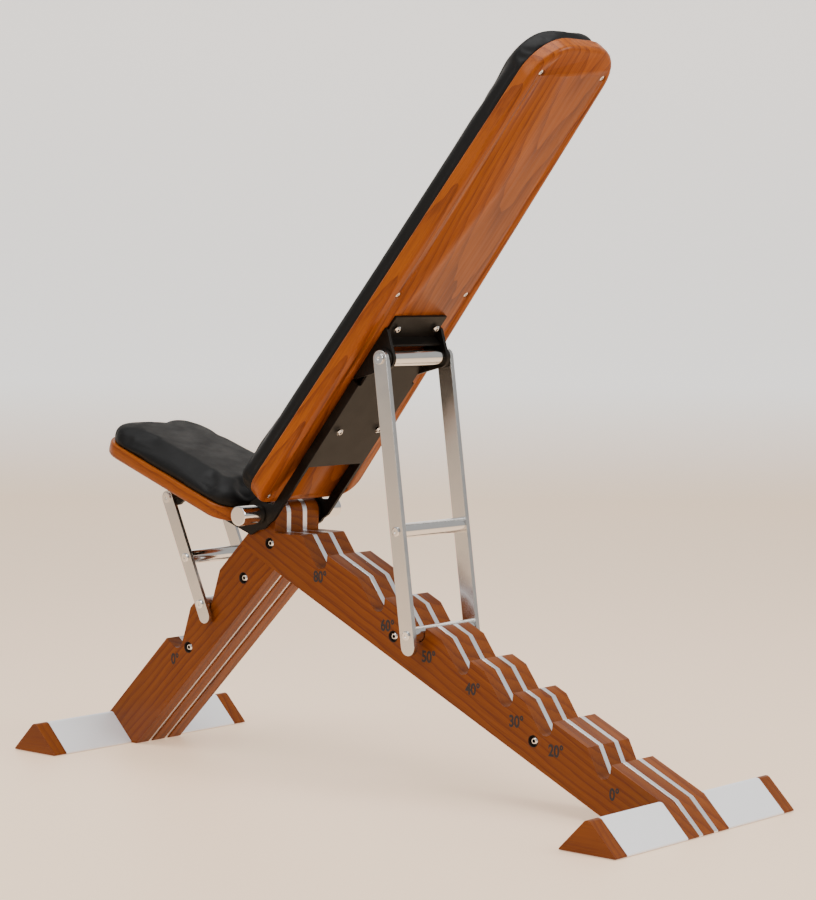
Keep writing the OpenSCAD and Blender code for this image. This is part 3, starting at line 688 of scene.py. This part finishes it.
class BENCH_OT_pads(bpy.types.Operator):
    """Leather pads, swelled by their foam"""
    bl_idname = "bench.pads"
    bl_label = "Pads"

    def execute(self, context):
        s = context.scene.bench_boards
        self.pad("back_cushion", "backrest", "back_pad", board_matrix(s.back_angle, True),
                 s.back_end, s.back_low, s.back_high, BACK_CORNERS[1], s.back_thick - s.back_drop,
                 s.back_pad)
        self.pad("seat_cushion", "seat", "seat_pad", board_matrix(s.seat_angle, False),
                 s.seat_end, s.seat_low, s.seat_high, SEAT_CORNERS[1], s.seat_thick - s.seat_drop,
                 s.seat_pad)
        return {"FINISHED"}

    def pad(self, name, body, node, place, end, low, high, r_high, base, thick):
        s = bpy.context.scene.bench_boards
        taper = (low - high) / end
        low = low - taper * s.pad_setback
        hinge_r = 0.65 * thick
        levels = []
        for k in range(PAD_STEPS + 1):
            h = thick * k / PAD_STEPS
            edge = self.inset(h, thick, s.pad_round)
            tuck = TUCK_DEPTH * (1 - min(1.0, h / TUCK_HEIGHT)) ** 2
            inset = PAD_SLACK + edge + tuck
            ahead = s.pad_setback + self.inset(h, thick, hinge_r) + 0.001 + tuck
            corner = max(0.012, r_high - edge)
            levels.append((base + h * (thick - 0.002) / thick,
                           rounded_outline(ahead, end - inset, low - inset, high - inset,
                                           max(LEAST_CORNER, HINGE_CORNER - edge), corner)))
        bm = stack(levels)
        obj = put(name, bm, pad_leather(), 60)
        self.remesh(obj)
        self.relax(obj, base)
        self.swell(obj, base, s.swell_cap)
        self.crown(obj, base, thick)
        smooth = obj.modifiers.new("smooth", "SUBSURF")
        smooth.levels = smooth.render_levels = 1
        apply_modifiers(obj)
        obj.data.transform(place)
        if place.determinant() < 0:
            obj.data.flip_normals()
        for face in obj.data.polygons:
            face.use_smooth = True
        settle(obj, body, "pad_leather", node)

    def inset(self, h, height, r):
        """How far a rounded top edge has drawn in at height h."""
        over = h - (height - r)
        return 0.0 if over <= 0 else r - sqrt(max(0.0, r * r - over * over))

    def remesh(self, obj):
        voxels = obj.modifiers.new("voxels", "REMESH")
        voxels.mode = "VOXEL"
        voxels.voxel_size = VOXEL
        apply_modifiers(obj)

    def relax(self, obj, base):
        """Evens out the voxel steps while the underside stays flat on its board."""
        bm = bmesh.new()
        bm.from_mesh(obj.data)
        for _ in range(4):
            bmesh.ops.smooth_vert(bm, verts=bm.verts, factor=0.5, use_axis_x=True, use_axis_y=True,
                                  use_axis_z=True)
        for v in bm.verts:
            if v.co.z < base + FLAT_UNDER:
                v.co.z = base
        bm.to_mesh(obj.data)
        bm.free()

    def swell(self, obj, base, cap):
        """Lets cloth under pressure find its shape, held along the underside."""
        scene = bpy.context.scene
        rest = [v.co.copy() for v in obj.data.vertices]
        held = obj.vertex_groups.new(name="held")
        held.add([v.index for v in obj.data.vertices if v.co.z < base + HELD_UNDER], 1.0, "REPLACE")
        cloth = obj.modifiers.new("cloth", "CLOTH")
        cloth.settings.quality = 5
        cloth.settings.mass = 0.4
        cloth.settings.tension_stiffness = 18
        cloth.settings.compression_stiffness = 18
        cloth.settings.bending_stiffness = 3.0
        cloth.settings.use_pressure = True
        cloth.settings.uniform_pressure_force = 4.0
        cloth.settings.vertex_group_mass = "held"
        cloth.settings.effector_weights.gravity = 0.0
        cloth.collision_settings.use_collision = False
        cloth.point_cache.frame_start = 1
        cloth.point_cache.frame_end = SWELL_FRAMES
        for step in range(1, SWELL_FRAMES + 1):
            scene.frame_set(step)
        apply_modifiers(obj)
        for v, old in zip(obj.data.vertices, rest):
            move = v.co - old
            if move.length > cap:
                v.co = old + move * (cap / move.length)
        scene.frame_set(1)
        obj.vertex_groups.clear()

    def crown(self, obj, base, thick):
        """Raises the middle of the top a little, as foam does under stretched leather."""
        for v in obj.data.vertices:
            lift = max(0.0, (v.co.z - base) / thick - CROWN_FROM) / (1 - CROWN_FROM)
            across = 1 - min(1.0, abs(v.co.x) / CROWN_HALF) ** 2
            v.co.z += CROWN_RISE * lift * across
            v.co.z = max(v.co.z, base + 0.0001)


class BENCH_OT_metalwork(bpy.types.Operator):
    """Brackets, strut bars, tubes, axle and barrels"""
    bl_idname = "bench.metalwork"
    bl_label = "Metalwork"

    def execute(self, context):
        black = black_enamel()
        steel = polished_steel()
        for node, body in (("seat_hinge_bracket", "seat"), ("seat_strut_bracket", "seat"),
                           ("back_channel", "backrest"), ("back_strut_bracket", "backrest"),
                           ("back_strut_spacers", "back_strut")):
            refine(node, node + "_enamelled", body, "black_steel", black, 0.0008)
        for strut in ("seat_strut", "back_strut"):
            for side in ("right", "left"):
                bar = f"{strut}_bar_{side}"
                refine(bar, bar + "_satin", strut, "polished_steel", satin_steel(), 0.001)
        for node, body, bevel in (
                ("axle_barrel_right", "frame", 0.0018), ("axle_barrel_left", "frame", 0.0018),
                ("seat_strut_cross_tube", "seat_strut", 0), ("seat_strut_notch_rod", "seat_strut", 0),
                ("seat_strut_pivot_pin", "seat_strut", 0.0005),
                ("back_strut_pivot_pin", "back_strut", 0.0005),
                ("back_strut_cross_tube", "back_strut", 0), ("back_strut_notch_rod", "back_strut", 0),
                ("back_strut_pivot_tube", "backrest", 0.0005), ("main_axle", "frame", 0)):
            refine(node, node + "_polished", body, "polished_steel", steel, bevel)
        for node in ("seat_hinge_bushes", "back_hinge_bushes"):
            self.paint(node, bronze())
        for node in ("foot_tie_rods", "frame_nuts"):
            self.paint(node, steel)
        return {"FINISHED"}

    def paint(self, node, material):
        slots = frame["nodes"][node].data.materials
        slots.clear()
        slots.append(material)


# ---- screws, made by geometry nodes ----

def fastener_tree(name, material):
    """A tree that puts a round head with a hexagon socket on every point."""
    tree = bpy.data.node_groups.new(name, "GeometryNodeTree")
    face = tree.interface
    face.new_socket("Geometry", in_out="INPUT", socket_type="NodeSocketGeometry")
    for label, value in (("Head Radius", 0.0055), ("Head Height", 0.004), ("Crown", 0.6),
                         ("Socket Radius", 0.0024), ("Socket Depth", 0.0022)):
        socket = face.new_socket(label, in_out="INPUT", socket_type="NodeSocketFloat")
        socket.default_value = value
    face.new_socket("Turn", in_out="INPUT", socket_type="NodeSocketVector")
    face.new_socket("Geometry", in_out="OUTPUT", socket_type="NodeSocketGeometry")
    w = Weave(tree)
    given = w.add("NodeGroupInput").outputs
    half = w.maths("MULTIPLY", given["Head Height"], 0.5)
    head = w.add("GeometryNodeMeshCylinder", {"Vertices": 32, "Radius": given["Head Radius"],
                                              "Depth": given["Head Height"]}).outputs["Mesh"]
    up = w.add("ShaderNodeCombineXYZ", {"Z": half}).outputs[0]
    head = w.add("GeometryNodeTransform", {"Geometry": head, "Translation": up}).outputs[0]
    small = w.maths("MULTIPLY", given["Head Radius"], given["Crown"])
    dome = w.add("GeometryNodeMeshCone", {"Vertices": 32, "Radius Top": small,
                                          "Radius Bottom": given["Head Radius"],
                                          "Depth": half}).outputs["Mesh"]
    lift = w.add("ShaderNodeCombineXYZ", {"Z": w.maths("MULTIPLY", given["Head Height"], 0.999)}).outputs[0]
    dome = w.add("GeometryNodeTransform", {"Geometry": dome, "Translation": lift}).outputs[0]
    solid = w.add("GeometryNodeMeshBoolean", operation="UNION")
    tree.links.new(head, solid.inputs["Mesh 2"])
    tree.links.new(dome, solid.inputs["Mesh 2"])
    key = w.add("GeometryNodeMeshCylinder", {"Vertices": 6, "Radius": given["Socket Radius"],
                                             "Depth": w.maths("MULTIPLY", given["Socket Depth"], 2.0)})
    tip = w.add("ShaderNodeCombineXYZ", {"Z": w.maths("MULTIPLY", given["Head Height"], 1.5)}).outputs[0]
    key = w.add("GeometryNodeTransform", {"Geometry": key.outputs["Mesh"], "Translation": tip}).outputs[0]
    cut = w.add("GeometryNodeMeshBoolean", {"Mesh 1": solid.outputs["Mesh"]}, operation="DIFFERENCE")
    tree.links.new(key, cut.inputs["Mesh 2"])
    spin = w.add("FunctionNodeEulerToRotation", {"Euler": given["Turn"]}).outputs[0]
    placed = w.add("GeometryNodeInstanceOnPoints", {"Points": given["Geometry"],
                                                    "Instance": cut.outputs["Mesh"], "Rotation": spin})
    real = w.add("GeometryNodeRealizeInstances", {"Geometry": placed.outputs[0]}).outputs[0]
    done = w.add("GeometryNodeSetMaterial", {"Geometry": real, "Material": material}).outputs[0]
    w.add("NodeGroupOutput", {"Geometry": done})
    return tree


def fasteners(name, tree, points, turn, body, nodes, **sizes):
    """One mesh of like fasteners at points, their heads facing local +Z turned by turn."""
    mesh = bpy.data.meshes.new(name)
    mesh.from_pydata([tuple(p) for p in points], [], [])
    obj = bpy.data.objects.new(name, mesh)
    bpy.context.collection.objects.link(obj)
    modifier = obj.modifiers.new("fasteners", "NODES")
    modifier.node_group = tree
    sockets = {item.name: item.identifier for item in tree.interface.items_tree
               if item.in_out == "INPUT"}
    modifier[sockets["Turn"]] = tuple(turn)
    for label, value in sizes.items():
        modifier[sockets[label.replace("_", " ").title()]] = value
    apply_modifiers(obj)
    bm = bmesh.new()
    bm.from_mesh(obj.data)
    bmesh.ops.remove_doubles(bm, verts=bm.verts, dist=1e-6)
    for face in bm.faces:
        face.smooth = True
    for edge in bm.edges:
        edge.smooth = len(edge.link_faces) == 2 and edge.calc_face_angle(0) < radians(30)
    bm.to_mesh(obj.data)
    bm.free()
    settle(obj, body, "polished_steel", *nodes)


def solid_boxes(node, space=Matrix()):
    """Low and high corners of a node's separate solids, in the given space."""
    bm = bmesh.new()
    bm.from_mesh(frame["nodes"][node].data)
    bmesh.ops.transform(bm, matrix=space, verts=bm.verts)
    bmesh.ops.remove_doubles(bm, verts=bm.verts, dist=2e-5)
    left = set(bm.verts)
    boxes = []
    while left:
        queue = [left.pop()]
        group = list(queue)
        while queue:
            for edge in queue.pop().link_edges:
                for v in edge.verts:
                    if v in left:
                        left.remove(v)
                        queue.append(v)
                        group.append(v)
        lows = [min(v.co[i] for v in group) for i in range(3)]
        highs = [max(v.co[i] for v in group) for i in range(3)]
        boxes.append((Vector(lows), Vector(highs)))
    bm.free()
    return boxes


# From a bolt's outer end back to where its new head starts.
FRAME_HEAD_START = 0.005
STRUT_HEAD_START = 0.0025
STRUT_HEAD = {"head_radius": 0.0068, "head_height": 0.0018, "crown": 0.8, "socket_radius": 0.0026,
              "socket_depth": 0.0012}


class BENCH_OT_fasteners(bpy.types.Operator):
    """Screws and bolts"""
    bl_idname = "bench.fasteners"
    bl_label = "Fasteners"

    def execute(self, context):
        s = context.scene.bench_boards
        tree = fastener_tree("socket_heads", polished_steel())
        quarter = pi / 2
        back = board_matrix(s.back_angle, True)
        seat = board_matrix(s.seat_angle, False)
        back_down = (back.to_3x3() @ Matrix.Rotation(pi, 3, "X")).to_euler()
        seat_down = Vector((0, 0, -1))
        seat_turn = (seat.to_3x3() @ seat_down).to_track_quat("Z", "Y").to_euler()
        for name, node, body, place, turn, sizes in (
                ("back_screw_heads", "back_board_screws", "backrest", back, back_down,
                 {"head_radius": 0.0048, "head_height": 0.0012, "socket_radius": 0.002,
                  "socket_depth": 0.0009}),
                ("back_bracket_bolts", "back_bolts", "backrest", back, back_down,
                 {"head_radius": 0.0056, "head_height": 0.0038}),
                ("seat_bracket_bolts", "seat_bolts", "seat", seat, seat_turn,
                 {"head_radius": 0.0055, "head_height": 0.0038})):
            heads = [place @ Vector(((low.x + high.x) / 2, (low.y + high.y) / 2,
                                     low.z + sizes["head_height"]))
                     for low, high in solid_boxes(node, place.inverted())]
            fasteners(name, tree, heads, turn, body, [node], **sizes)
        heads = [Vector((high.x - FRAME_HEAD_START, (low.y + high.y) / 2, (low.z + high.z) / 2))
                 for low, high in solid_boxes("frame_bolts")]
        fasteners("frame_bolt_heads", tree, heads, (0, quarter, 0), "frame", ["frame_bolts"],
                  head_radius=0.0062, head_height=0.0042, socket_radius=0.003, socket_depth=0.0026)
        for node, body in (("back_strut_bolts", "back_strut"), ("seat_strut_bolts", "seat_strut")):
            right = []
            left = []
            for low, high in solid_boxes(node):
                centre = (low + high) / 2
                if centre.x > 0:
                    right.append(Vector((high.x - STRUT_HEAD_START, centre.y, centre.z)))
                else:
                    left.append(Vector((low.x + STRUT_HEAD_START, centre.y, centre.z)))
            fasteners(node + "_right", tree, right, (0, quarter, 0), body, [node], **STRUT_HEAD)
            fasteners(node + "_left", tree, left, (0, -quarter, 0), body, [], **STRUT_HEAD)
        return {"FINISHED"}


# ---- angle marks ----

OPENINGS = {o["name"]: o["box_m"] for o in frame["record"]["physics"]["openings"]}
# From a notch's middle to the middle of its mark.
MARK_SHIFT = Vector((0, 0.019, -0.032))
STEP_MARK_SHIFT = Vector((0, -0.001, -0.025))
SEAT_MARK_SHIFT = Vector((0, -0.004, -0.032))
MARK_RELIEF = 0.0002
MARK_WEIGHT = 0.0007
MARK_NARROWING = 0.82


def mark_places():
    """Each angle with the place of its mark beside the notch that it names."""
    places = [(50, node_centre("back_strut_notch_rod") + MARK_SHIFT)]
    for name, (low, high) in OPENINGS.items():
        centre = (Vector(low) + Vector(high)) / 2
        if name == "seat_notch_low":
            places.append((0, centre + SEAT_MARK_SHIFT))
        else:
            angle = int(name.split("_")[1])
            places.append((angle, centre + (STEP_MARK_SHIFT if angle == 80 else MARK_SHIFT)))
    return places


class BENCH_OT_marks(bpy.types.Operator):
    """Burned angle marks under the notches"""
    bl_idname = "bench.marks"
    bl_label = "Angle marks"
    size: FloatProperty(name="Size", description="Height of the figures", default=0.023, unit="LENGTH")

    def execute(self, context):
        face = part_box("rear_beam_plank_right")[1][0]
        bm = bmesh.new()
        for angle, spot in mark_places():
            text = bpy.data.curves.new("mark", "FONT")
            text.body = f"{angle}°"
            text.size = self.size
            text.align_x = "CENTER"
            text.align_y = "CENTER"
            text.extrude = MARK_RELIEF
            text.offset = MARK_WEIGHT
            holder = bpy.data.objects.new("mark", text)
            context.collection.objects.link(holder)
            context.view_layer.update()
            seen = holder.evaluated_get(context.evaluated_depsgraph_get())
            mesh = bpy.data.meshes.new_from_object(seen)
            turn = Matrix((Vector((0, 1, 0)), Vector((0, 0, 1)), Vector((1, 0, 0)))).transposed()
            mesh.transform(Matrix.Translation((face, spot.y, spot.z)) @ turn.to_4x4()
                           @ Matrix.Diagonal((MARK_NARROWING, 1, 1, 1)))
            bm.from_mesh(mesh)
            bpy.data.objects.remove(holder)
            bpy.data.meshes.remove(mesh)
        burned = plain("burned_mark", colours().mark, 0.7, 400)
        obj = put("angle_marks", bm, burned, 30)
        settle(obj, "frame", "stained_ash")
        return {"FINISHED"}


class BENCH_PT_panel(bpy.types.Panel):
    """Buttons for every piece of the bench"""
    bl_label = "Bench"
    bl_idname = "BENCH_PT_panel"
    bl_space_type = "VIEW_3D"
    bl_region_type = "UI"
    bl_category = "Bench"

    def draw(self, context):
        column = self.layout.column()
        for operator in OPERATORS:
            column.operator(operator.bl_idname)
        for group in (context.scene.bench_boards, context.scene.bench_colours, context.scene.bench_view):
            box = self.layout.box()
            for name in group.bl_rna.properties.keys():
                if name not in ("rna_type", "name"):
                    box.prop(group, name)


OPERATORS = (BENCH_OT_stage, BENCH_OT_timber, BENCH_OT_feet, BENCH_OT_boards, BENCH_OT_pads,
             BENCH_OT_metalwork, BENCH_OT_fasteners, BENCH_OT_marks)
GROUPS = (("bench_boards", BenchBoards), ("bench_colours", BenchColours), ("bench_view", BenchView))


def register():
    for name, group in GROUPS:
        bpy.utils.register_class(group)
        setattr(bpy.types.Scene, name, PointerProperty(type=group))
    for cls in OPERATORS + (BENCH_PT_panel,):
        bpy.utils.register_class(cls)


def unregister():
    for cls in reversed(OPERATORS + (BENCH_PT_panel,)):
        bpy.utils.unregister_class(cls)
    for name, group in reversed(GROUPS):
        delattr(bpy.types.Scene, name)
        bpy.utils.unregister_class(group)


def main():
    register()
    bpy.ops.bench.stage()
    bpy.ops.bench.timber()
    bpy.ops.bench.feet()
    bpy.ops.bench.boards()
    bpy.ops.bench.pads()
    bpy.ops.bench.metalwork()
    bpy.ops.bench.fasteners()
    bpy.ops.bench.marks()


if __name__ == "__main__":
    main()
